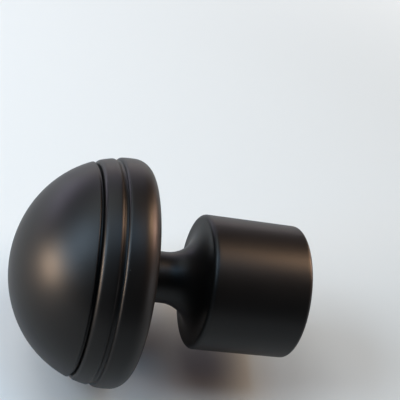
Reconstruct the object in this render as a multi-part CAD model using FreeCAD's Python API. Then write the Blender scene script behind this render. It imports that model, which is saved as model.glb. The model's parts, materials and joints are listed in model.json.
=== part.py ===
"""Curtain pole finial: a turned black head on a waisted neck, with a collar that slips over a 28 mm pole.

The finial lies as it does on its pole. The pole's axis is X, the collar's mouth faces +X and the head
-X, and +Z is up. The origin is the centre of the socket's blind end, where the end of the pole stops.
Every shape is a section turned about X: in the section, the first coordinate runs along the pole and
the second is the radius. All sizes are millimetres.
"""
import FreeCAD, Part
import math
import os
from FreeCAD import Vector

# Pole and socket
pole_diameter = 28.0
pole_clearance = 0.4            # on the diameter, so that a coated pole still slides in
socket_depth = 20.0
mouth_chamfer = 0.5             # lead-in for the pole

# Collar
collar_wall = 2.8
end_wall = 5.3                  # blind end of the socket to the shoulder
mouth_rounding = 1.0            # outer edge round the mouth
shoulder_rounding = 1.2         # outer edge at the neck's end
shoulder_flat = 1.4             # flat ring between that edge and the flare

# Neck
neck_diameter = 12.8
neck_length = 15.2              # shoulder of the collar to the back of the head

# Head
head_diameter = 56.4            # over the rim band
rim_rounding = 4.3              # back corner of the rim band
rim_land = 0.4                  # straight width that the rounding leaves before the dome's curve starts
dome_height = 26.2              # widest section to the tip
rim_band_step = 0.15            # rim band stands this much proud of the dome's curve

# The two grooves that part the rim band, the middle band and the dome. A groove's place is from the back
# of the head to the middle of its opening, and its width is over both rounded lips. The head tapers, so
# a groove is deeper on the side of the rim; the depth given is the one on the side of the tip.
# The rim groove is shallow: a steep wall under the rim band, and an easy slope up to the middle band.
rim_groove_place = 8.65
rim_groove_width = 2.6
rim_groove_depth = 0.35
rim_groove_rim_lip = 0.9
rim_groove_rim_corner = 0.2
rim_groove_tip_lip = 1.0
rim_groove_tip_corner = 0.8
# The dome groove is narrow and deep with a round floor, so it looks like one dark line.
dome_groove_place = 13.4
dome_groove_width = 2.0
dome_groove_depth = 1.0
dome_groove_rim_lip = 1.4
dome_groove_rim_corner = 0.33
dome_groove_tip_lip = 0.2
dome_groove_tip_corner = 0.33
shortest_floor = 0.05           # roundings are made smaller until a groove keeps this much flat floor

# Grub screw that clamps the pole, on the underside: M4 x 3 with a hexagon socket and a cup point
screw_diameter = 4.0
screw_length = 3.0
screw_thread_clearance = 0.05   # screw and tapped hole are both plain, one this much inside the other
screw_from_mouth = 9.0
screw_edge_chamfer = 0.4
screw_cup_diameter = 2.0
screw_cup_depth = 0.5
hex_across_flats = 2.0
hex_depth = 1.5
hole_countersink = 0.3          # the tapped hole is this much wider at the collar's surface, all round

# Places along the pole, from the blind end of the socket
mouth_x = socket_depth
screw_x = mouth_x - screw_from_mouth
shoulder_x = -end_wall
head_back_x = shoulder_x - neck_length
widest_x = head_back_x - rim_rounding - rim_land
tip_x = widest_x - dome_height
rim_groove_x = head_back_x - rim_groove_place
dome_groove_x = head_back_x - dome_groove_place

# Radii
socket_radius = (pole_diameter + pole_clearance) / 2
collar_radius = socket_radius + collar_wall
neck_radius = neck_diameter / 2
flare_radius = collar_radius - shoulder_rounding - shoulder_flat - neck_radius
rim_radius = head_diameter / 2
dome_radius = rim_radius - rim_band_step


def point(along, radius):
    """A point of the section."""
    return Vector(along, radius, 0)


def line(start, end):
    return Part.LineSegment(start, end).toShape()


def rounding(start, centre, end):
    """The shorter arc from start to end about a centre in the section."""
    towards_middle = (start + end).sub(centre * 2)
    towards_middle.normalize()
    middle = centre + towards_middle * (start - centre).Length
    return Part.Arc(start, middle, end).toShape()


def head_radius_at(along, widest_radius):
    """Radius of the head's elliptical curve, whose widest section has the given radius."""
    share = (widest_x - along) / dome_height
    return widest_radius * math.sqrt(1 - share ** 2)


def head_normal_at(along, widest_radius):
    """Direction square to the head's elliptical curve, outwards."""
    share = (widest_x - along) / dome_height
    slope = widest_radius * share / (dome_height * math.sqrt(1 - share ** 2))
    normal = point(-slope, 1)
    normal.normalize()
    return normal


def head_curve(start_x, end_x, widest_radius):
    """Part of the quarter ellipse from the head's widest section to its tip, as a rational Bezier."""
    curve = Part.BezierCurve()
    curve.setPoles([point(widest_x, widest_radius), point(tip_x, widest_radius), point(tip_x, 0)])
    curve.setWeight(2, math.sqrt(0.5))
    start = curve.parameter(point(start_x, head_radius_at(start_x, widest_radius)))
    end = curve.parameter(point(end_x, head_radius_at(end_x, widest_radius)))
    curve.segment(start, end)
    return curve.toShape()


def turned(edges):
    """The solid that a closed section makes when it is turned about the pole's axis."""
    return Part.Face(Part.Wire(edges)).revolve(Vector(0, 0, 0), Vector(1, 0, 0), 360)


def collar_outline():
    """From the axis at the blind end, out over the mouth and back along the outside to the shoulder."""
    socket_end = point(0, socket_radius)
    chamfer_in = point(mouth_x - mouth_chamfer, socket_radius)
    chamfer_out = point(mouth_x, socket_radius + mouth_chamfer)
    mouth_face = point(mouth_x, collar_radius - mouth_rounding)
    mouth_centre = point(mouth_x - mouth_rounding, collar_radius - mouth_rounding)
    mouth_side = point(mouth_x - mouth_rounding, collar_radius)
    shoulder_side = point(shoulder_x + shoulder_rounding, collar_radius)
    shoulder_centre = point(shoulder_x + shoulder_rounding, collar_radius - shoulder_rounding)
    shoulder_face = point(shoulder_x, collar_radius - shoulder_rounding)
    return [
        line(point(0, 0), socket_end),
        line(socket_end, chamfer_in),
        line(chamfer_in, chamfer_out),
        line(chamfer_out, mouth_face),
        rounding(mouth_face, mouth_centre, mouth_side),
        line(mouth_side, shoulder_side),
        rounding(shoulder_side, shoulder_centre, shoulder_face),
    ]


def neck_outline():
    """The shoulder's flat, the trumpet flare, the straight neck and the back of the head."""
    shoulder_face = point(shoulder_x, collar_radius - shoulder_rounding)
    flare_foot = point(shoulder_x, neck_radius + flare_radius)
    flare_centre = point(shoulder_x - flare_radius, neck_radius + flare_radius)
    flare_end = point(shoulder_x - flare_radius, neck_radius)
    neck_end = point(head_back_x, neck_radius)
    rim_back = point(head_back_x, rim_radius - rim_rounding)
    return [
        line(shoulder_face, flare_foot),
        rounding(flare_foot, flare_centre, flare_end),
        line(flare_end, neck_end),
        line(neck_end, rim_back),
    ]


def groove_side(curve_x, inwards, widest_radius, floor, lip, corner):
    """One side of a groove, from the head's curve down to the floor.

    It is a rounded lip, then a straight wall if there is height for one, then a rounded corner. On a
    shallow groove the lip and the corner touch at a slant. inwards is +1 or -1, the direction along the
    pole that leads into the groove. Also returns the point where the floor starts.
    """
    curve_end = point(curve_x, head_radius_at(curve_x, widest_radius))
    lip_centre = curve_end - head_normal_at(curve_x, widest_radius) * lip
    rise = max(0, floor + corner - lip_centre.y)
    across = math.sqrt((lip + corner) ** 2 - rise ** 2)
    corner_centre = point(lip_centre.x + inwards * across, floor + corner)
    towards_corner = point(inwards * across, rise)
    towards_corner.normalize()
    lip_foot = lip_centre + towards_corner * lip
    corner_head = corner_centre - towards_corner * corner
    floor_start = point(corner_centre.x, floor)
    edges = [rounding(curve_end, lip_centre, lip_foot)]
    if rise == 0:
        edges.append(line(lip_foot, corner_head))
    edges.append(rounding(corner_head, corner_centre, floor_start))
    return edges, floor_start


def groove_outline(rim_end, tip_end, depth, rim_side_radius, rim_roundings, tip_roundings):
    """A groove between two places on the head's curve, from the rim's side on.

    Each pair of roundings holds a lip and a corner. All four are made smaller where they would leave
    the groove without a floor.
    """
    floor = head_radius_at(tip_end, dome_radius) - depth
    floor_length = 0
    scale = 1
    while floor_length < shortest_floor:
        rim_lip, rim_corner = (scale * size for size in rim_roundings)
        tip_lip, tip_corner = (scale * size for size in tip_roundings)
        rim_side, rim_foot = groove_side(rim_end, -1, rim_side_radius, floor, rim_lip, rim_corner)
        tip_side, tip_foot = groove_side(tip_end, 1, dome_radius, floor, tip_lip, tip_corner)
        floor_length = rim_foot.x - tip_foot.x
        scale = 0.95 * scale
    return rim_side + [line(rim_foot, tip_foot)] + tip_side[::-1]


def head_outline():
    """The rim band with its rounded back corner, the two grooves and the dome."""
    rim_back = point(head_back_x, rim_radius - rim_rounding)
    rim_centre = point(head_back_x - rim_rounding, rim_radius - rim_rounding)
    rim_side = point(head_back_x - rim_rounding, rim_radius)
    rim_band_end = rim_groove_x + rim_groove_width / 2
    middle_band_start = rim_groove_x - rim_groove_width / 2
    middle_band_end = dome_groove_x + dome_groove_width / 2
    dome_start = dome_groove_x - dome_groove_width / 2
    rim_groove = groove_outline(
        rim_band_end, middle_band_start, rim_groove_depth, rim_radius,
        (rim_groove_rim_lip, rim_groove_rim_corner), (rim_groove_tip_lip, rim_groove_tip_corner))
    dome_groove = groove_outline(
        middle_band_end, dome_start, dome_groove_depth, dome_radius,
        (dome_groove_rim_lip, dome_groove_rim_corner), (dome_groove_tip_lip, dome_groove_tip_corner))
    rim_band = [
        rounding(rim_back, rim_centre, rim_side),
        line(rim_side, point(widest_x, rim_radius)),
        head_curve(widest_x, rim_band_end, rim_radius),
    ]
    middle_band = [head_curve(middle_band_start, middle_band_end, dome_radius)]
    dome = [head_curve(dome_start, tip_x, dome_radius), line(point(tip_x, 0), point(0, 0))]
    return rim_band + rim_groove + middle_band + dome_groove + dome


def screw_hole():
    """The countersunk hole through the collar's lower wall, as a plain bore of the thread's full size."""
    down = Vector(0, 0, -1)
    bore_radius = screw_diameter / 2
    bore_start = Vector(screw_x, 0, collar_wall - socket_radius)
    bore = Part.makeCylinder(bore_radius, 3 * collar_wall, bore_start, down)
    sink_start = Vector(screw_x, 0, hole_countersink - collar_radius)
    sink_length = 2 * hole_countersink
    sink = Part.makeCone(bore_radius, bore_radius + sink_length, sink_length, sink_start, down)
    return bore.fuse(sink)


def finial_body():
    """Head, neck and collar: one turned piece with a blind socket for the pole."""
    outline = collar_outline() + neck_outline() + head_outline()
    return turned(outline).cut(screw_hole())


def hexagon(across_flats, height, start):
    """A hexagonal prism that rises along +Z from its start."""
    corner_radius = across_flats / math.sqrt(3)
    corners = []
    for turn in range(7):
        angle = math.radians(60 * turn)
        corners.append(start + Vector(corner_radius * math.cos(angle), corner_radius * math.sin(angle), 0))
    return Part.Face(Part.makePolygon(corners)).extrude(Vector(0, 0, height))


def grub_screw():
    """The screw, backed off until its cup point is level with the socket's wall."""
    radius = screw_diameter / 2 - screw_thread_clearance
    place = Vector(screw_x, 0, 0)
    tip_z = -socket_radius
    socket_z = tip_z - screw_length
    screw = Part.makeCylinder(radius, screw_length, place + Vector(0, 0, socket_z))
    screw = screw.makeChamfer(screw_edge_chamfer, [edge for edge in screw.Edges if edge.Closed])
    cup_start = place + Vector(0, 0, tip_z - screw_cup_depth)
    cup = Part.makeCone(0, screw_cup_diameter / 2, screw_cup_depth, cup_start)
    return screw.cut(hexagon(hex_across_flats, hex_depth, place + Vector(0, 0, socket_z))).cut(cup)


os.makedirs("parts", exist_ok=True)
for name, piece in (("finial_body", finial_body()), ("grub_screw", grub_screw())):
    solid = piece.Solids[0]
    solid.exportStep("parts/" + name + ".step")
    box = solid.optimalBoundingBox()
    size = "size %.2f x %.2f x %.2f mm" % (box.XLength, box.YLength, box.ZLength)
    print(name, "volume %.0f mm3" % solid.Volume, size)
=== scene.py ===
# %% [markdown]
# # A satin black curtain pole finial
#
# The finial is the knob that closes the end of a curtain pole. It is one piece of light alloy, turned on
# a lathe and sprayed black: half a ball with two fine grooves, a thin neck that flares like a trumpet,
# and a collar with a blind socket that slips over the pole. A small grub screw under the collar clamps
# the pole.
#
# This lesson dresses a finished CAD model. The CAD solids give every size and place. What is made here
# is what the eye judges: smooth turned surfaces, the thread of the screw, the finish, and the light.

# %% Load the frame
import bpy
import json
import math
from mathutils import Matrix, Vector


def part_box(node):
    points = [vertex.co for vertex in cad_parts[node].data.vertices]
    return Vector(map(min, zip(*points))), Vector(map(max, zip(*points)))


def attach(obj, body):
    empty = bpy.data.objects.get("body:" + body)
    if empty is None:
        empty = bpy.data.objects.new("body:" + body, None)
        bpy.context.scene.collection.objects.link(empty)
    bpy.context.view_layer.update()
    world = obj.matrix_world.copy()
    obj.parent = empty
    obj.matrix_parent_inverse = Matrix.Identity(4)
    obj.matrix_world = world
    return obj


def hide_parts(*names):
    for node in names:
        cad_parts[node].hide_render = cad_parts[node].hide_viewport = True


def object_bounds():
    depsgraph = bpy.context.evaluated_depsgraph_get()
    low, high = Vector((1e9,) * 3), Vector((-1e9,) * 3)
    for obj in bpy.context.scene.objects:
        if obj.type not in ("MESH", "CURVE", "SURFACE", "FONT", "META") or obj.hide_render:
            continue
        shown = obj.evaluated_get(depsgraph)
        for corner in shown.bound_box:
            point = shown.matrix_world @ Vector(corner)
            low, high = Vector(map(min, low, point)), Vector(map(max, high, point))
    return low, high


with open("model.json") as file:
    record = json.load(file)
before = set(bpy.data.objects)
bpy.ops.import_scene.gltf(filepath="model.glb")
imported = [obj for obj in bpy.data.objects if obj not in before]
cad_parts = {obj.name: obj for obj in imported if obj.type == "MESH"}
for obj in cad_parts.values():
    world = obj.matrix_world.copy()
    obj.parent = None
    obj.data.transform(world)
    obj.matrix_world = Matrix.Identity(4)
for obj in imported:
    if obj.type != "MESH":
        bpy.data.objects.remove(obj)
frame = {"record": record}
cad_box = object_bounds()
print("CAD box in mm:", [[round(1000 * value, 2) for value in corner] for corner in cad_box])

# %% [markdown]
# ## Sizes
#
# A turned piece is described by its section: how far along the axis, and how far out from it. The outer
# limits, the socket and the screw come from the CAD model, so the dressed piece can't drift away from
# it. The rest are the turner's own sizes: where a groove sits, how deep it is, how round a corner is.
# They are written once, in metres, because that is Blender's unit.

# %% Sizes of the turned piece
MM = 0.001
body_low, body_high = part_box("finial_body")
socket = next(mount for mount in frame["record"]["mounts"] if mount["name"] == "pole_socket")

tip = body_low.x
mouth = body_high.x
rim_radius = body_high.z
socket_radius = socket["dims"]["r_mm"] * MM
collar_wall = 2.8 * MM
collar_radius = socket_radius + collar_wall
mouth_chamfer = 0.5 * MM
mouth_rounding = 1.0 * MM

end_wall = 5.3 * MM
shoulder = -end_wall
shoulder_rounding = 1.2 * MM
shoulder_flat = 1.4 * MM
neck_radius = 6.4 * MM
flare_radius = collar_radius - shoulder_rounding - shoulder_flat - neck_radius
neck_length = 15.2 * MM
head_back = shoulder - neck_length

rim_rounding = 4.3 * MM
rim_land = 0.4 * MM
band_step = 0.15 * MM
widest = head_back - rim_rounding - rim_land
dome_height = widest - tip
dome_radius = rim_radius - band_step
print("Head in mm:", round(2000 * rim_radius, 2), "across, dome", round(1000 * dome_height, 2), "high")
print("Collar in mm:", round(2000 * collar_radius, 2), "across, flare", round(1000 * flare_radius, 2))

# %% Sizes of the two grooves
rim_groove = {
    "rim_end": head_back - 7.35 * MM,
    "tip_end": head_back - 9.95 * MM,
    "depth": 0.35 * MM,
    "rim_lip": 0.9 * MM,
    "rim_corner": 0.2 * MM,
    "tip_lip": 1.0 * MM,
    "tip_corner": 0.8 * MM,
}
dome_groove = {
    "rim_end": head_back - 12.4 * MM,
    "tip_end": head_back - 14.4 * MM,
    "depth": 1.0 * MM,
    "rim_lip": 1.4 * MM,
    "rim_corner": 0.33 * MM,
    "tip_lip": 0.2 * MM,
    "tip_corner": 0.33 * MM,
}
for name, groove in (("Rim groove", rim_groove), ("Dome groove", dome_groove)):
    print(name, round(1000 * (groove["rim_end"] - groove["tip_end"]), 2), "mm over both lips")

# %% [markdown]
# ## Walking along a section
#
# A section could be drawn as a Bezier curve, but then the corners and the long flats get the same number
# of points. Here a small set of helpers walks along the outline instead: straight on, round an arc, or
# along the ball's curve. Each takes its own steps, short on tight corners and longer on flats. Flats get
# steps too, so that the faces beside a corner are narrow and the shading of a corner stays at the corner.

# %% Helpers that walk along a section
shortest_step = 0.001 * MM
longest_step = 0.8 * MM
arc_step = math.radians(9)
dome_step = math.radians(1.5)


def go_straight(walk, along, radius, step=longest_step):
    """Adds evenly spaced points in a straight run from the last point of the walk, if it has a length."""
    start = walk[-1]
    end = Vector((along, radius))
    distance = (end - start).length
    if distance < shortest_step:
        return
    count = math.ceil(distance / step)
    walk.extend(start.lerp(end, number / count) for number in range(1, count + 1))


def go_round(walk, centre, end):
    """Adds points on a circle about the centre, the shorter way from the walk's last point to the end."""
    first = walk[-1] - centre
    turn = first.angle_signed(end - centre)
    count = max(2, math.ceil(abs(turn) / arc_step))
    for number in range(1, count):
        spoke = first.copy()
        spoke.rotate(Matrix.Rotation(-turn * number / count, 2))
        walk.append(centre + spoke)
    walk.append(end)


def head_radius(along, widest_radius):
    """Radius of the ball's curve, a quarter of an ellipse, at a place along the axis."""
    share = min(1, (widest - along) / dome_height)
    return widest_radius * math.sqrt(1 - share ** 2)


def go_over_dome(walk, along, widest_radius):
    """Adds points on the ball's curve up to a place along the axis."""
    start = math.asin(min(1, (widest - walk[-1].x) / dome_height))
    end = math.asin(min(1, (widest - along) / dome_height))
    count = max(2, math.ceil((end - start) / dome_step))
    for number in range(1, count + 1):
        angle = start + (end - start) * number / count
        place = widest - dome_height * math.sin(angle)
        walk.append(Vector((place, widest_radius * math.cos(angle))))


# %% [markdown]
# ## The section of the finial
#
# A groove on a real finial isn't a plain slot. Its lips are rounded, and so are the corners of its floor.
# The lips catch the light as the pale lines beside each groove, so they are true arcs here, tangent to
# the ball's curve. The two grooves differ. The one by the dome is deep with a round floor, and looks like
# one dark line. The one by the rim is shallow: a steep wall, a narrow floor, and an easy slope up to the
# middle band, where a lip and a corner touch at a slant with no wall between them.

# %% Grooves
def groove_side(along, inwards, widest_radius, floor_radius, lip, corner):
    """The five points of one side of a groove, from the ball's curve down to its floor.

    They are where the lip starts, the lip's centre, its foot, the corner's head and the corner's centre.
    """
    share = (widest - along) / dome_height
    slope = widest_radius * share / (dome_height * math.sqrt(1 - share ** 2))
    lip_start = Vector((along, head_radius(along, widest_radius)))
    lip_centre = lip_start - lip * Vector((-slope, 1)).normalized()
    rise = max(0, floor_radius + corner - lip_centre.y)
    across = math.sqrt((lip + corner) ** 2 - rise ** 2)
    corner_centre = Vector((lip_centre.x + inwards * across, floor_radius + corner))
    towards_corner = Vector((inwards * across, rise)).normalized()
    lip_foot = lip_centre + lip * towards_corner
    corner_head = corner_centre - corner * towards_corner
    return lip_start, lip_centre, lip_foot, corner_head, corner_centre


def cut_groove(walk, groove, rim_side_radius):
    """Walks along the ball's curve to a groove, through it, and out on the side of the tip."""
    floor_radius = head_radius(groove["tip_end"], dome_radius) - groove["depth"]
    rim_sizes = (rim_side_radius, floor_radius, groove["rim_lip"], groove["rim_corner"])
    rim_side = groove_side(groove["rim_end"], -1, *rim_sizes)
    lip_start, lip_centre, lip_foot, corner_head, corner_centre = rim_side
    go_over_dome(walk, lip_start.x, rim_side_radius)
    go_round(walk, lip_centre, lip_foot)
    go_straight(walk, corner_head.x, corner_head.y)
    go_round(walk, corner_centre, Vector((corner_centre.x, floor_radius)))
    tip_sizes = (dome_radius, floor_radius, groove["tip_lip"], groove["tip_corner"])
    tip_side = groove_side(groove["tip_end"], 1, *tip_sizes)
    lip_start, lip_centre, lip_foot, corner_head, corner_centre = tip_side
    go_straight(walk, corner_centre.x, floor_radius)
    go_round(walk, corner_centre, corner_head)
    go_straight(walk, lip_foot.x, lip_foot.y)
    go_round(walk, lip_centre, lip_start)


# %% The whole section, from the socket's blind end round to the tip of the dome
def collar_section():
    """The socket, its mouth and the outside of the collar."""
    walk = [Vector((0, 0))]
    go_straight(walk, 0, socket_radius)
    go_straight(walk, mouth - mouth_chamfer, socket_radius)
    go_straight(walk, mouth, socket_radius + mouth_chamfer)
    go_straight(walk, mouth, collar_radius - mouth_rounding)
    mouth_centre = Vector((mouth - mouth_rounding, collar_radius - mouth_rounding))
    go_round(walk, mouth_centre, Vector((mouth - mouth_rounding, collar_radius)))
    go_straight(walk, shoulder + shoulder_rounding, collar_radius)
    return walk


def add_neck(walk):
    """The shoulder, the trumpet flare, the neck and the flat back of the head."""
    edge_centre = Vector((shoulder + shoulder_rounding, collar_radius - shoulder_rounding))
    go_round(walk, edge_centre, Vector((shoulder, collar_radius - shoulder_rounding)))
    go_straight(walk, shoulder, neck_radius + flare_radius)
    flare_centre = Vector((shoulder - flare_radius, neck_radius + flare_radius))
    go_round(walk, flare_centre, Vector((shoulder - flare_radius, neck_radius)))
    go_straight(walk, head_back, neck_radius)
    go_straight(walk, head_back, rim_radius - rim_rounding)


def add_head(walk):
    """The rounded rim, the two bands and the dome, with a groove after each band."""
    rim_centre = Vector((head_back - rim_rounding, rim_radius - rim_rounding))
    go_round(walk, rim_centre, Vector((head_back - rim_rounding, rim_radius)))
    go_straight(walk, widest, rim_radius)
    cut_groove(walk, rim_groove, rim_radius)
    cut_groove(walk, dome_groove, dome_radius)
    go_over_dome(walk, tip, dome_radius)


finial_section = collar_section()
add_neck(finial_section)
add_head(finial_section)
finial_section[-1].y = 0
print("The finial's section has", len(finial_section), "points")

# %% [markdown]
# ## The section of the grub screw
#
# The screw is turned too: a chamfer at each end, a hollow cone at the tip that bites into the pole, and
# a hexagon socket at the other end. Its section runs from the end with the hexagon to the tip. The side
# takes short steps, because the thread is cut into it.

# %% Sizes and section of the screw
screw_low, screw_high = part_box("grub_screw")
screw_radius = (screw_high.x - screw_low.x) / 2
screw_length = screw_high.z - screw_low.z
screw_chamfer = 0.4 * MM
cup_radius = 1.0 * MM
cup_depth = 0.5 * MM
hexagon_across_flats = 2.0 * MM
hexagon_corner = hexagon_across_flats / math.sqrt(3)
hexagon_depth = 1.5 * MM
thread_pitch = 0.7 * MM
thread_depth = 0.38 * MM
thread_step = thread_pitch / 20
end_step = thread_step * 4
thread_hole_radius = 2.0 * MM
hole_countersink = 0.3 * MM
hexagon_countersink = 0.2 * MM

screw_section = [Vector((0, 0))]
go_straight(screw_section, 0, screw_radius - screw_chamfer, end_step)
go_straight(screw_section, screw_chamfer, screw_radius, thread_step)
go_straight(screw_section, screw_length - screw_chamfer, screw_radius, thread_step)
go_straight(screw_section, screw_length, screw_radius - screw_chamfer, thread_step)
go_straight(screw_section, screw_length, cup_radius, end_step)
go_straight(screw_section, screw_length - cup_depth, 0, end_step)
print("The screw is", round(1000 * screw_length, 2), "mm long, section of", len(screw_section), "points")

# %% [markdown]
# ## One node tree that turns, threads and drills
#
# A lathe follows one rule for every piece: each point of the section goes round the axis. So one
# Geometry Nodes tree makes both pieces. It lays out a grid with one row for each point of the section
# and one column for each step round the axis. Then it moves the grid's points. Blender's Screw modifier
# could turn the section too, but it can't cut a thread into it, and both share their sizes here.
#
# A thread is a helix: the phase of its ridge grows with the angle and with the way along the axis. The
# tree takes the smaller of two radii, the section's and the thread's. That is what a die does to a
# chamfered rod, so the thread runs out in the chamfer as it does on a real screw.
#
# The drill is a prism with any number of sides: many for the round hole in the collar, and six for the
# hexagon in the screw. A cone cuts the small countersink at the mouth of each.

# %% Helpers for node trees
def feed(tree, value, socket):
    """Links a node's output into a socket, or sets a plain value on it."""
    if isinstance(value, bpy.types.NodeSocket):
        tree.links.new(value, socket)
    else:
        socket.default_value = value


def add_node(tree, kind, inputs=(), **settings):
    """A node with its settings and inputs; inputs are pairs of a socket's name or number and a value."""
    node = tree.nodes.new(kind)
    for name, value in settings.items():
        setattr(node, name, value)
    for name, value in inputs:
        feed(tree, value, node.inputs[name])
    return node


def calculate(tree, operation, *values):
    """The output of one Math node."""
    node = add_node(tree, "ShaderNodeMath", operation=operation)
    for socket, value in zip(node.inputs, values):
        feed(tree, value, socket)
    return node.outputs[0]


def add_sockets(tree, direction, sockets):
    """Named sockets on a tree's interface, from pairs of a name and a kind."""
    for name, kind in sockets:
        tree.interface.new_socket(name, in_out=direction, socket_type="NodeSocket" + kind)


# %% The rule of a thread
crest_end = 0.16
root_start = 0.78


def threaded_radius(tree, radius, along, angle, sizes):
    """The smaller of the section's radius and the radius of a thread cut round the axis.

    The flank falls from the end of the flat crest to the start of the flat root, both given as shares of
    the way from the middle of the crest to the middle of the root.
    """
    turns = calculate(tree, "DIVIDE", angle, math.tau)
    lead = calculate(tree, "DIVIDE", along, sizes["Thread Pitch"])
    phase = calculate(tree, "FRACT", calculate(tree, "ADD", lead, turns))
    ridge = calculate(tree, "ABSOLUTE", calculate(tree, "MULTIPLY_ADD", phase, 2, -1))
    flank = add_node(tree, "ShaderNodeMapRange", [
        ("Value", ridge),
        ("From Min", crest_end),
        ("From Max", root_start),
    ])
    cut = calculate(tree, "MULTIPLY", flank.outputs["Result"], sizes["Thread Depth"])
    thread = calculate(tree, "SUBTRACT", sizes["Thread Radius"], cut)
    return calculate(tree, "MINIMUM", radius, thread)


# %% The turning tree
round_sides = 64


def build_turning_tree():
    """A Geometry Nodes tree that turns a section about X, threads it, puts it in place and drills it."""
    tree = bpy.data.node_groups.new("turned_piece", "GeometryNodeTree")
    add_sockets(tree, "INPUT", [
        ("Section", "Geometry"),
        ("Steps Round", "Int"),
        ("Thread Radius", "Float"),
        ("Thread Depth", "Float"),
        ("Thread Pitch", "Float"),
        ("Stand", "Rotation"),
        ("Place", "Vector"),
        ("Hole Sides", "Int"),
        ("Hole Radius", "Float"),
        ("Hole Depth", "Float"),
        ("Hole Place", "Vector"),
        ("Sink Wide Radius", "Float"),
        ("Sink Narrow Radius", "Float"),
        ("Sink Depth", "Float"),
        ("Sink Place", "Vector"),
        ("Weld Distance", "Float"),
        ("Sharp Angle", "Float"),
        ("Finish", "Material"),
    ])
    add_sockets(tree, "OUTPUT", [("Piece", "Geometry")])
    sizes = tree.nodes.new("NodeGroupInput").outputs

    rows = add_node(tree, "GeometryNodeAttributeDomainSize", [("Geometry", sizes["Section"])])
    columns = calculate(tree, "ADD", sizes["Steps Round"], 1)
    grid = add_node(tree, "GeometryNodeMeshGrid", [
        ("Vertices X", rows.outputs["Point Count"]),
        ("Vertices Y", columns),
    ])
    index = tree.nodes.new("GeometryNodeInputIndex").outputs["Index"]
    row = calculate(tree, "FLOOR", calculate(tree, "DIVIDE", calculate(tree, "ADD", index, 0.5), columns))
    column = calculate(tree, "SUBTRACT", index, calculate(tree, "MULTIPLY", row, columns))
    angle = calculate(tree, "MULTIPLY", calculate(tree, "DIVIDE", column, sizes["Steps Round"]), math.tau)

    position = tree.nodes.new("GeometryNodeInputPosition").outputs["Position"]
    sample = add_node(tree, "GeometryNodeSampleIndex", data_type="FLOAT_VECTOR")
    feed(tree, sizes["Section"], sample.inputs["Geometry"])
    feed(tree, position, sample.inputs["Value"])
    feed(tree, row, sample.inputs["Index"])
    point = add_node(tree, "ShaderNodeSeparateXYZ", [(0, sample.outputs["Value"])]).outputs
    radius = threaded_radius(tree, point["Y"], point["X"], angle, sizes)
    around = add_node(tree, "ShaderNodeCombineXYZ", [
        ("X", point["X"]),
        ("Y", calculate(tree, "MULTIPLY", radius, calculate(tree, "SINE", angle))),
        ("Z", calculate(tree, "MULTIPLY", radius, calculate(tree, "COSINE", angle))),
    ])
    turned = add_node(tree, "GeometryNodeSetPosition", [
        ("Geometry", grid.outputs["Mesh"]),
        ("Position", around.outputs["Vector"]),
    ])
    closed = add_node(tree, "GeometryNodeMergeByDistance", [
        ("Geometry", turned.outputs["Geometry"]),
        ("Distance", sizes["Weld Distance"]),
    ])
    placed = add_node(tree, "GeometryNodeTransform", [
        ("Geometry", closed.outputs["Geometry"]),
        ("Rotation", sizes["Stand"]),
        ("Translation", sizes["Place"]),
    ])

    drill = add_node(tree, "GeometryNodeMeshCylinder", [
        ("Vertices", sizes["Hole Sides"]),
        ("Radius", sizes["Hole Radius"]),
        ("Depth", sizes["Hole Depth"]),
    ])
    drill_placed = add_node(tree, "GeometryNodeTransform", [
        ("Geometry", drill.outputs["Mesh"]),
        ("Translation", sizes["Hole Place"]),
    ])
    sink = add_node(tree, "GeometryNodeMeshCone", [
        ("Vertices", round_sides),
        ("Radius Bottom", sizes["Sink Wide Radius"]),
        ("Radius Top", sizes["Sink Narrow Radius"]),
        ("Depth", sizes["Sink Depth"]),
    ])
    sink_placed = add_node(tree, "GeometryNodeTransform", [
        ("Geometry", sink.outputs["Mesh"]),
        ("Translation", sizes["Sink Place"]),
    ])
    cutter = add_node(tree, "GeometryNodeMeshBoolean", operation="UNION", solver="EXACT")
    feed(tree, drill_placed.outputs["Geometry"], cutter.inputs["Mesh 2"])
    feed(tree, sink_placed.outputs["Geometry"], cutter.inputs["Mesh 2"])
    drilled = add_node(tree, "GeometryNodeMeshBoolean", operation="DIFFERENCE", solver="EXACT")
    feed(tree, placed.outputs["Geometry"], drilled.inputs["Mesh 1"])
    feed(tree, cutter.outputs["Mesh"], drilled.inputs["Mesh 2"])

    smooth = add_node(tree, "GeometryNodeSetShadeSmooth", [("Geometry", drilled.outputs["Mesh"])])
    edge_angle = tree.nodes.new("GeometryNodeInputMeshEdgeAngle").outputs["Unsigned Angle"]
    is_sharp = add_node(tree, "FunctionNodeCompare", operation="GREATER_THAN")
    feed(tree, edge_angle, is_sharp.inputs["A"])
    feed(tree, sizes["Sharp Angle"], is_sharp.inputs["B"])
    creased = add_node(tree, "GeometryNodeSetShadeSmooth", [
        ("Geometry", smooth.outputs["Geometry"]),
        ("Selection", is_sharp.outputs["Result"]),
        ("Shade Smooth", False),
    ], domain="EDGE")
    real = add_node(tree, "GeometryNodeRealizeInstances", [("Geometry", creased.outputs["Geometry"])])
    finished = add_node(tree, "GeometryNodeSetMaterial", [
        ("Geometry", real.outputs["Geometry"]),
        ("Material", sizes["Finish"]),
    ])
    output = tree.nodes.new("NodeGroupOutput")
    feed(tree, finished.outputs["Geometry"], output.inputs["Piece"])
    return tree


turning_tree = build_turning_tree()
print("The turning tree has", len(turning_tree.nodes), "nodes")


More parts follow.
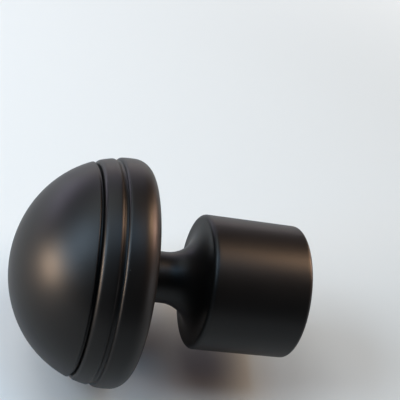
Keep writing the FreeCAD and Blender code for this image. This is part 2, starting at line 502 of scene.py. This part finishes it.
# %% Turn a section into a finished mesh
def turn_piece(name, section, sizes):
    """Runs the turning tree on a section and keeps the result as a plain mesh."""
    wire = bpy.data.meshes.new(name + "_section")
    points = [(point.x, point.y, 0) for point in section]
    wire.from_pydata(points, [(number, number + 1) for number in range(len(points) - 1)], [])
    blank = bpy.data.objects.new(name + "_blank", wire)
    bpy.context.scene.collection.objects.link(blank)
    modifier = blank.modifiers.new("Turning", "NODES")
    modifier.node_group = turning_tree
    for socket in turning_tree.interface.items_tree:
        if socket.in_out == "INPUT" and socket.name in sizes:
            modifier[socket.identifier] = sizes[socket.name]
    ready = bpy.context.evaluated_depsgraph_get()
    mesh = bpy.data.meshes.new_from_object(blank.evaluated_get(ready))
    mesh.name = name
    bpy.data.objects.remove(blank)
    bpy.data.meshes.remove(wire)
    piece = bpy.data.objects.new(name, mesh)
    bpy.context.scene.collection.objects.link(piece)
    triangles = sum(len(face.vertices) - 2 for face in mesh.polygons)
    print(name, "has", len(mesh.vertices), "points and", triangles, "triangles")
    return piece


# %% [markdown]
# ## Effects that both finishes share
#
# The finial is sprayed black and the screw is blackened steel, but two effects are common to both. Fine
# dust has settled on them, as single pale specks with wide gaps. And no sprayed or oiled surface is
# evenly glossy, so its roughness drifts a little from place to place. Each effect is a node group, made
# once and placed in each material with its own sizes.

# %% Helpers for materials
def add_noise(tree, coordinates, scale, detail):
    """The grey value of a noise texture."""
    noise = add_node(tree, "ShaderNodeTexNoise", [
        ("Vector", coordinates),
        ("Scale", scale),
        ("Detail", detail),
    ])
    return noise.outputs["Fac"]


def add_bump(tree, height, strength, distance):
    """A normal that is tilted by a height."""
    bump = add_node(tree, "ShaderNodeBump", [
        ("Height", height),
        ("Strength", strength),
        ("Distance", distance),
    ])
    return bump.outputs["Normal"]


def place_group(tree, group, inputs):
    """Places a shared effect in a material, with its own values."""
    node = add_node(tree, "ShaderNodeGroup", node_tree=group)
    for name, value in inputs:
        feed(tree, value, node.inputs[name])
    return node.outputs


def mix_colours(tree, share, first, second):
    """A colour between two, by a share that changes over the surface."""
    mix = add_node(tree, "ShaderNodeMix", data_type="RGBA")
    feed(tree, share, mix.inputs["Factor"])
    feed(tree, first, mix.inputs[6])
    feed(tree, second, mix.inputs[7])
    return mix.outputs[2]


def distance_off_axis(tree, first, second):
    """How far a point is from an axis, from its two coordinates across that axis."""
    squares = calculate(tree, "MULTIPLY_ADD", second, second, calculate(tree, "MULTIPLY", first, first))
    return calculate(tree, "SQRT", squares)


# %% Dust and uneven gloss
def build_dust_group():
    """Single specks of dust: a mask that is 1 on a speck and 0 between them."""
    tree = bpy.data.node_groups.new("fine_dust", "ShaderNodeTree")
    add_sockets(tree, "INPUT", [
        ("Vector", "Vector"),
        ("Specks Per Metre", "Float"),
        ("Speck Size", "Float"),
        ("Share", "Float"),
    ])
    add_sockets(tree, "OUTPUT", [("Mask", "Float")])
    sizes = tree.nodes.new("NodeGroupInput").outputs
    cells = add_node(tree, "ShaderNodeTexVoronoi", [
        ("Vector", sizes["Vector"]),
        ("Scale", sizes["Specks Per Metre"]),
    ])
    chance = add_node(tree, "ShaderNodeSeparateColor", [("Color", cells.outputs["Color"])])
    chosen = calculate(tree, "LESS_THAN", chance.outputs["Red"], sizes["Share"])
    smaller = calculate(tree, "MULTIPLY", sizes["Speck Size"], chance.outputs["Green"])
    on_speck = calculate(tree, "LESS_THAN", cells.outputs["Distance"], smaller)
    output = tree.nodes.new("NodeGroupOutput")
    feed(tree, calculate(tree, "MULTIPLY", chosen, on_speck), output.inputs["Mask"])
    return tree


def build_gloss_group():
    """Roughness that drifts round a middle value in soft patches."""
    tree = bpy.data.node_groups.new("uneven_gloss", "ShaderNodeTree")
    add_sockets(tree, "INPUT", [
        ("Vector", "Vector"),
        ("Patches Per Metre", "Float"),
        ("Roughness", "Float"),
        ("Drift", "Float"),
    ])
    add_sockets(tree, "OUTPUT", [("Roughness", "Float")])
    sizes = tree.nodes.new("NodeGroupInput").outputs
    patches = add_noise(tree, sizes["Vector"], sizes["Patches Per Metre"], detail=3.0)
    centred = calculate(tree, "SUBTRACT", patches, 0.5)
    drifted = calculate(tree, "MULTIPLY_ADD", centred, sizes["Drift"], sizes["Roughness"])
    output = tree.nodes.new("NodeGroupOutput")
    feed(tree, drifted, output.inputs["Roughness"])
    return tree


dust_group = build_dust_group()
gloss_group = build_gloss_group()
print("Shared effects:", dust_group.name, "and", gloss_group.name)

# %% [markdown]
# ## The black coating
#
# The coating is a sprayed satin black: nearly no colour of its own, a broad soft highlight, and a pale
# shine where one looks along the surface. That shine comes from the shader's own reflection and isn't
# painted. Close up the spray has a fine grain, which is a low bump. Inside the socket the spray thins
# out, because the gun can't reach the blind end. There the turned alloy shows, with the rings that the
# boring tool left. The mask for it is a rule in the piece's own coordinates: inside the socket's radius,
# and deep enough, with a ragged edge from a noise.

# %% The coating's material
coat_colour = (0.0045, 0.0041, 0.0039, 1)
dust_colour = (0.08, 0.075, 0.07, 1)
bare_alloy = (0.42, 0.41, 0.40, 1)
spray_thins = 4.0 * MM
spray_ends = 11.0 * MM
spray_wander = 6.0 * MM
surface_margin = 0.05 * MM
ring_pitch = 0.28 * MM
ring_share = 0.35
grain_share = 0.5


def make_coating():
    """Satin black spray, thinning out inside the socket."""
    material = bpy.data.materials.new("satin_black_coating")
    material.use_nodes = True
    tree = material.node_tree
    shader = tree.nodes["Principled BSDF"]
    shader.inputs["Specular IOR Level"].default_value = 0.35
    coordinates = tree.nodes.new("ShaderNodeTexCoord").outputs["Object"]
    point = add_node(tree, "ShaderNodeSeparateXYZ", [(0, coordinates)]).outputs
    from_axis = distance_off_axis(tree, point["Y"], point["Z"])

    ragged = add_noise(tree, coordinates, scale=420.0, detail=4.0)
    edge = calculate(tree, "MULTIPLY_ADD", ragged, spray_wander, point["X"])
    bare = add_node(tree, "ShaderNodeMapRange", [
        ("Value", edge),
        ("From Min", mouth - spray_thins),
        ("From Max", mouth - spray_ends),
    ], interpolation_type="SMOOTHSTEP")
    inside = calculate(tree, "LESS_THAN", from_axis, socket_radius + surface_margin)
    beyond_end = calculate(tree, "GREATER_THAN", point["X"], -surface_margin)
    in_socket = calculate(tree, "MULTIPLY", inside, beyond_end)
    bare_share = calculate(tree, "MULTIPLY", bare.outputs["Result"], in_socket)

    dust = place_group(tree, dust_group, [
        ("Vector", coordinates),
        ("Specks Per Metre", 900.0),
        ("Speck Size", 0.10),
        ("Share", 0.045),
    ])
    coated = mix_colours(tree, dust["Mask"], coat_colour, dust_colour)
    feed(tree, mix_colours(tree, bare_share, coated, bare_alloy), shader.inputs["Base Color"])
    feed(tree, bare_share, shader.inputs["Metallic"])
    gloss = place_group(tree, gloss_group, [
        ("Vector", coordinates),
        ("Patches Per Metre", 160.0),
        ("Roughness", 0.42),
        ("Drift", 0.05),
    ])
    feed(tree, gloss["Roughness"], shader.inputs["Roughness"])

    grain = add_noise(tree, coordinates, scale=3200.0, detail=2.0)
    ring_place = calculate(tree, "ADD", from_axis, point["X"])
    rings = calculate(tree, "SINE", calculate(tree, "MULTIPLY", ring_place, math.tau / ring_pitch))
    ring_height = calculate(tree, "MULTIPLY", rings, calculate(tree, "MULTIPLY", bare_share, ring_share))
    height = calculate(tree, "MULTIPLY_ADD", grain, grain_share, ring_height)
    feed(tree, add_bump(tree, height, strength=0.6, distance=0.02 * MM), shader.inputs["Normal"])
    return material


coating = make_coating()
print("Coating made with", len(coating.node_tree.nodes), "nodes")

# %% [markdown]
# ## The screw's blackened steel
#
# The screw is steel with a thin black oxide. The oxide rubs through on the crests of the thread, where
# the bare steel shines. How far a point is from the screw's own axis tells whether it is on a crest.

# %% The screw's material
oxide_colour = (0.045, 0.042, 0.040, 1)
rubbed_colour = (0.30, 0.29, 0.28, 1)
rubbed_depth = 0.08 * MM
screw_place = Vector(((screw_low.x + screw_high.x) / 2, 0, screw_low.z))


def make_steel():
    """Black oxide on steel, rubbed bright on the crests of the thread."""
    material = bpy.data.materials.new("blackened_steel")
    material.use_nodes = True
    tree = material.node_tree
    shader = tree.nodes["Principled BSDF"]
    shader.inputs["Metallic"].default_value = 1.0
    coordinates = tree.nodes.new("ShaderNodeTexCoord").outputs["Object"]
    centred = add_node(tree, "ShaderNodeMapping", [("Vector", coordinates), ("Location", -screw_place)])
    point = add_node(tree, "ShaderNodeSeparateXYZ", [(0, centred.outputs["Vector"])]).outputs
    crest = add_node(tree, "ShaderNodeMapRange", [
        ("Value", distance_off_axis(tree, point["X"], point["Y"])),
        ("From Min", screw_radius - rubbed_depth),
        ("From Max", screw_radius),
    ])
    patches = add_noise(tree, coordinates, scale=1500.0, detail=3.0)
    rubbed = calculate(tree, "MULTIPLY", crest.outputs["Result"], patches)
    dust = place_group(tree, dust_group, [
        ("Vector", coordinates),
        ("Specks Per Metre", 2500.0),
        ("Speck Size", 0.2),
        ("Share", 0.05),
    ])
    worn = mix_colours(tree, rubbed, oxide_colour, rubbed_colour)
    feed(tree, mix_colours(tree, dust["Mask"], worn, dust_colour), shader.inputs["Base Color"])
    gloss = place_group(tree, gloss_group, [
        ("Vector", coordinates),
        ("Patches Per Metre", 700.0),
        ("Roughness", 0.38),
        ("Drift", 0.15),
    ])
    feed(tree, gloss["Roughness"], shader.inputs["Roughness"])
    grain = add_noise(tree, coordinates, scale=6000.0, detail=2.0)
    feed(tree, add_bump(tree, grain, strength=0.2, distance=0.01 * MM), shader.inputs["Normal"])
    return material


steel = make_steel()
print("Steel made with", len(steel.node_tree.nodes), "nodes")

# %% [markdown]
# ## Turn both pieces
#
# The finial stands as it is drawn, with its axis along X. The screw is drawn along X too, then stands up
# and moves to its place under the collar. Its hexagon faces down, and its cup points at the pole.

# %% The finial
weld_distance = 0.001 * MM
sharp_angle = math.radians(35)
beyond_the_rim = 2 * rim_radius     # a thread out there cuts nothing

finial = turn_piece("turned_finial", finial_section, {
    "Steps Round": 256,
    "Thread Radius": beyond_the_rim,
    "Thread Depth": 0.0,
    "Thread Pitch": 1.0,
    "Hole Sides": round_sides,
    "Hole Radius": thread_hole_radius,
    "Hole Depth": 2 * (collar_radius - socket_radius),
    "Hole Place": (screw_place.x, 0, -(collar_radius + socket_radius) / 2),
    "Sink Wide Radius": thread_hole_radius + 2 * hole_countersink,
    "Sink Narrow Radius": thread_hole_radius,
    "Sink Depth": 2 * hole_countersink,
    "Sink Place": (screw_place.x, 0, -(collar_radius + hole_countersink)),
    "Weld Distance": weld_distance,
    "Sharp Angle": sharp_angle,
    "Finish": coating,
})

# %% The grub screw
grub_screw = turn_piece("threaded_grub_screw", screw_section, {
    "Steps Round": 96,
    "Thread Radius": screw_radius,
    "Thread Depth": thread_depth,
    "Thread Pitch": thread_pitch,
    "Stand": (0, -math.pi / 2, 0),
    "Place": screw_place,
    "Hole Sides": 6,
    "Hole Radius": hexagon_corner,
    "Hole Depth": 2 * hexagon_depth,
    "Hole Place": screw_place,
    "Sink Wide Radius": hexagon_corner + hexagon_countersink,
    "Sink Narrow Radius": hexagon_corner - hexagon_countersink,
    "Sink Depth": 2 * hexagon_countersink,
    "Sink Place": screw_place - Vector((0, 0, hexagon_countersink / 2)),
    "Weld Distance": weld_distance,
    "Sharp Angle": sharp_angle,
    "Finish": steel,
})

# %% Hand both pieces to the frame
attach(finial, "root")
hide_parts("finial_body")
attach(grub_screw, "root")
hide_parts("grub_screw")
print("Two pieces ride on the root body")

# %% [markdown]
# ## Floor and camera
#
# The finial keeps the place that it has on its pole, with its axis level, so its head touches the floor
# and its collar hangs a little above it. The soft lights stand close to the finial and fall off within an
# arm's length. A floor of a few metres would go black beyond that, so it glows softly further out, at the
# brightness of the backdrop, and no dark horizon shows when one looks along it.
#
# The camera looks down from the front left, rolled a little. Its place is given as numbers, found by
# matching the outline of the piece. A Track To constraint could aim it, but would leave out the roll.

# %% Floor
floor_size = 6.0
lit_reach = 0.14
glow_reach = 0.6
floor_colour = (0.76, 0.71, 0.665, 1)
backdrop_colour = (0.97, 0.98, 1.0, 1)
backdrop_strength = 1.05


def make_floor():
    """A plain pale floor under the head, which glows softly far away, beyond the reach of the lights."""
    material = bpy.data.materials.new("pale_floor")
    material.use_nodes = True
    tree = material.node_tree
    shader = tree.nodes["Principled BSDF"]
    shader.inputs["Base Color"].default_value = floor_colour
    shader.inputs["Roughness"].default_value = 0.9
    shader.inputs["Specular IOR Level"].default_value = 0.1
    shader.inputs["Emission Color"].default_value = backdrop_colour
    coordinates = tree.nodes.new("ShaderNodeTexCoord").outputs["Object"]
    point = add_node(tree, "ShaderNodeSeparateXYZ", [(0, coordinates)]).outputs
    glow = add_node(tree, "ShaderNodeMapRange", [
        ("Value", distance_off_axis(tree, point["X"], point["Y"])),
        ("From Min", lit_reach),
        ("From Max", glow_reach),
        ("To Max", backdrop_strength),
    ], interpolation_type="SMOOTHSTEP")
    feed(tree, glow.outputs["Result"], shader.inputs["Emission Strength"])
    mesh = bpy.data.meshes.new("floor")
    half = floor_size / 2
    height = cad_box[0].z
    mesh.from_pydata(
        [(-half, -half, height), (half, -half, height), (half, half, height), (-half, half, height)],
        [],
        [(0, 1, 2, 3)],
    )
    mesh.materials.append(material)
    floor = bpy.data.objects.new("floor", mesh)
    bpy.context.scene.collection.objects.link(floor)
    return floor


floor = make_floor()
print("Floor at", round(1000 * cad_box[0].z, 2), "mm")

# %% Camera
camera_place = Vector((-67.52, -135.13, 171.67)) * MM
camera_heading = math.radians(22.08)
camera_drop = math.radians(44.26)
camera_roll = math.radians(23.79)
camera_lens = 80.776
sensor_width = 36
nearest_view = 5 * MM


def make_camera():
    """A camera that looks along its heading, down by its drop, and is turned about its own view."""
    data = bpy.data.cameras.new("camera")
    data.sensor_width = sensor_width
    data.lens = camera_lens
    data.clip_start = nearest_view
    camera = bpy.data.objects.new("camera", data)
    upright = Matrix.Rotation(-camera_heading, 4, "Z") @ Matrix.Rotation(math.pi / 2 - camera_drop, 4, "X")
    turn = upright @ Matrix.Rotation(camera_roll, 4, "Z")
    camera.matrix_world = Matrix.Translation(camera_place) @ turn
    bpy.context.scene.collection.objects.link(camera)
    bpy.context.scene.camera = camera
    return camera


camera = make_camera()
print("Camera at", [round(1000 * value) for value in camera.matrix_world.translation], "mm")

# %% [markdown]
# ## Light
#
# A satin black thing has hardly any colour of its own. What one sees is the room, blurred in its surface:
# cool windows, warm lamps and pale walls. So each soft light stands where a patch on the finial asks for
# it, which is the camera's direction mirrored in the surface there. An image of a room on the world would
# be another way, but a few named soft lights are easier to move, size and weigh against each other.
#
# The cool patch in the middle of the dome is a high window on the left, and the warm spot beside it is a
# lamp near the floor. The warm line round the rim comes from two small lamps on the right. A studio would
# keep them off the floor with a flag, and light linking does that here. It also gives the floor its own,
# paler light from above, so that the lamps warm the finial and the floor stays white.

# %% Soft lights
def add_softbox(name, towards, distance, size, power, colour):
    """A soft rectangular light that stands in a direction and faces the finial."""
    data = bpy.data.lights.new(name, "AREA")
    data.shape = "RECTANGLE"
    data.size, data.size_y = size
    data.energy = power
    data.color = colour
    light = bpy.data.objects.new(name, data)
    direction = Vector(towards).normalized()
    turn = direction.to_track_quat("Z", "Y").to_matrix().to_4x4()
    light.matrix_world = Matrix.Translation(direction * distance) @ turn
    light.visible_camera = False
    bpy.context.scene.collection.objects.link(light)
    return light


near = 0.8
far = 0.9

# %% Windows, ceiling and walls
add_softbox("window_left", (-0.92, -0.10, 0.34), near, (0.40, 0.20), 2.4, (0.35, 0.68, 1.0))
add_softbox("window_left_high", (-0.74, 0.0, 0.66), near, (0.40, 0.28), 3.5, (0.63, 0.82, 1.0))
add_softbox("window_back", (-0.42, 0.50, 0.76), far, (0.60, 0.50), 2.0, (0.96, 1.0, 0.95))
add_softbox("ceiling_left", (-0.38, 0.06, 0.92), near, (0.34, 0.26), 1.05, (0.67, 0.82, 1.0))
add_softbox("ceiling", (0.02, 0.0, 1.0), near, (0.34, 0.30), 1.6, (0.41, 0.70, 1.0))
add_softbox("wall_back_left", (-0.65, 0.76, 0.08), far, (0.60, 0.16), 1.5, (0.82, 0.77, 1.0))
add_softbox("wall_back", (-0.1, 0.90, 0.42), far, (0.60, 0.30), 0.9, (0.76, 0.78, 1.0))
add_softbox("wall_back_low", (0.05, 1.0, 0.08), far, (0.70, 0.16), 1.0, (1.0, 0.88, 0.88))
print("Windows, ceiling and walls lit")

# %% Lamps, some for the finial alone, and a light for the floor alone
def shine_only_on(name, lights, pieces):
    """Links lights to a few pieces, so that they light nothing else."""
    receivers = bpy.data.collections.new(name)
    for piece in pieces:
        receivers.objects.link(piece)
    for light in lights:
        light.light_linking.receiver_collection = receivers
    print(len(lights), "lights shine on", name)


add_softbox("lamp_left", (-1.0, -0.06, 0.07), near, (0.30, 0.18), 7.0, (1.0, 0.74, 0.53))
shine_only_on("finial_only", [
    add_softbox("lamp_above", (0.56, 0.25, 0.79), near, (0.24, 0.24), 5.2, (1.0, 0.67, 0.42)),
    add_softbox("lamp_right", (0.84, 0.26, 0.47), near, (0.14, 0.20), 4.5, (1.0, 0.67, 0.54)),
    add_softbox("lamp_right_back", (0.76, 0.50, 0.36), near, (0.12, 0.16), 1.6, (1.0, 0.68, 0.50)),
    add_softbox("fill_right", (0.92, -0.32, 0.23), near, (0.40, 0.30), 0.9, (0.92, 0.94, 1.0)),
], [finial, grub_screw])
shine_only_on("floor_only", [
    add_softbox("floor_light", (0.47, 0.22, 0.85), near, (0.60, 0.60), 2.5, (1.0, 0.88, 0.70)),
], [floor])

# %% [markdown]
# ## Surroundings
#
# The room itself is dark, so that every reflection comes from a named light. Only the camera sees a pale
# backdrop, where it looks past the edge of the floor. The view is plain Standard, with a gamma a little
# below one. It deepens the blacks and keeps the floor white, as a camera's own contrast does.

# %% Surroundings
def make_surroundings():
    """A dark room, with a pale backdrop that only the camera sees."""
    world = bpy.data.worlds.new("room")
    world.use_nodes = True
    tree = world.node_tree
    background = tree.nodes["Background"]
    background.inputs["Color"].default_value = backdrop_colour
    path = tree.nodes.new("ShaderNodeLightPath")
    strength = calculate(tree, "MULTIPLY", path.outputs["Is Camera Ray"], backdrop_strength)
    feed(tree, strength, background.inputs["Strength"])
    bpy.context.scene.world = world


make_surroundings()
view = bpy.context.scene.view_settings
view.view_transform = "Standard"
view.gamma = 0.85
print("Surroundings made, view", view.view_transform, "with gamma", round(view.gamma, 2))
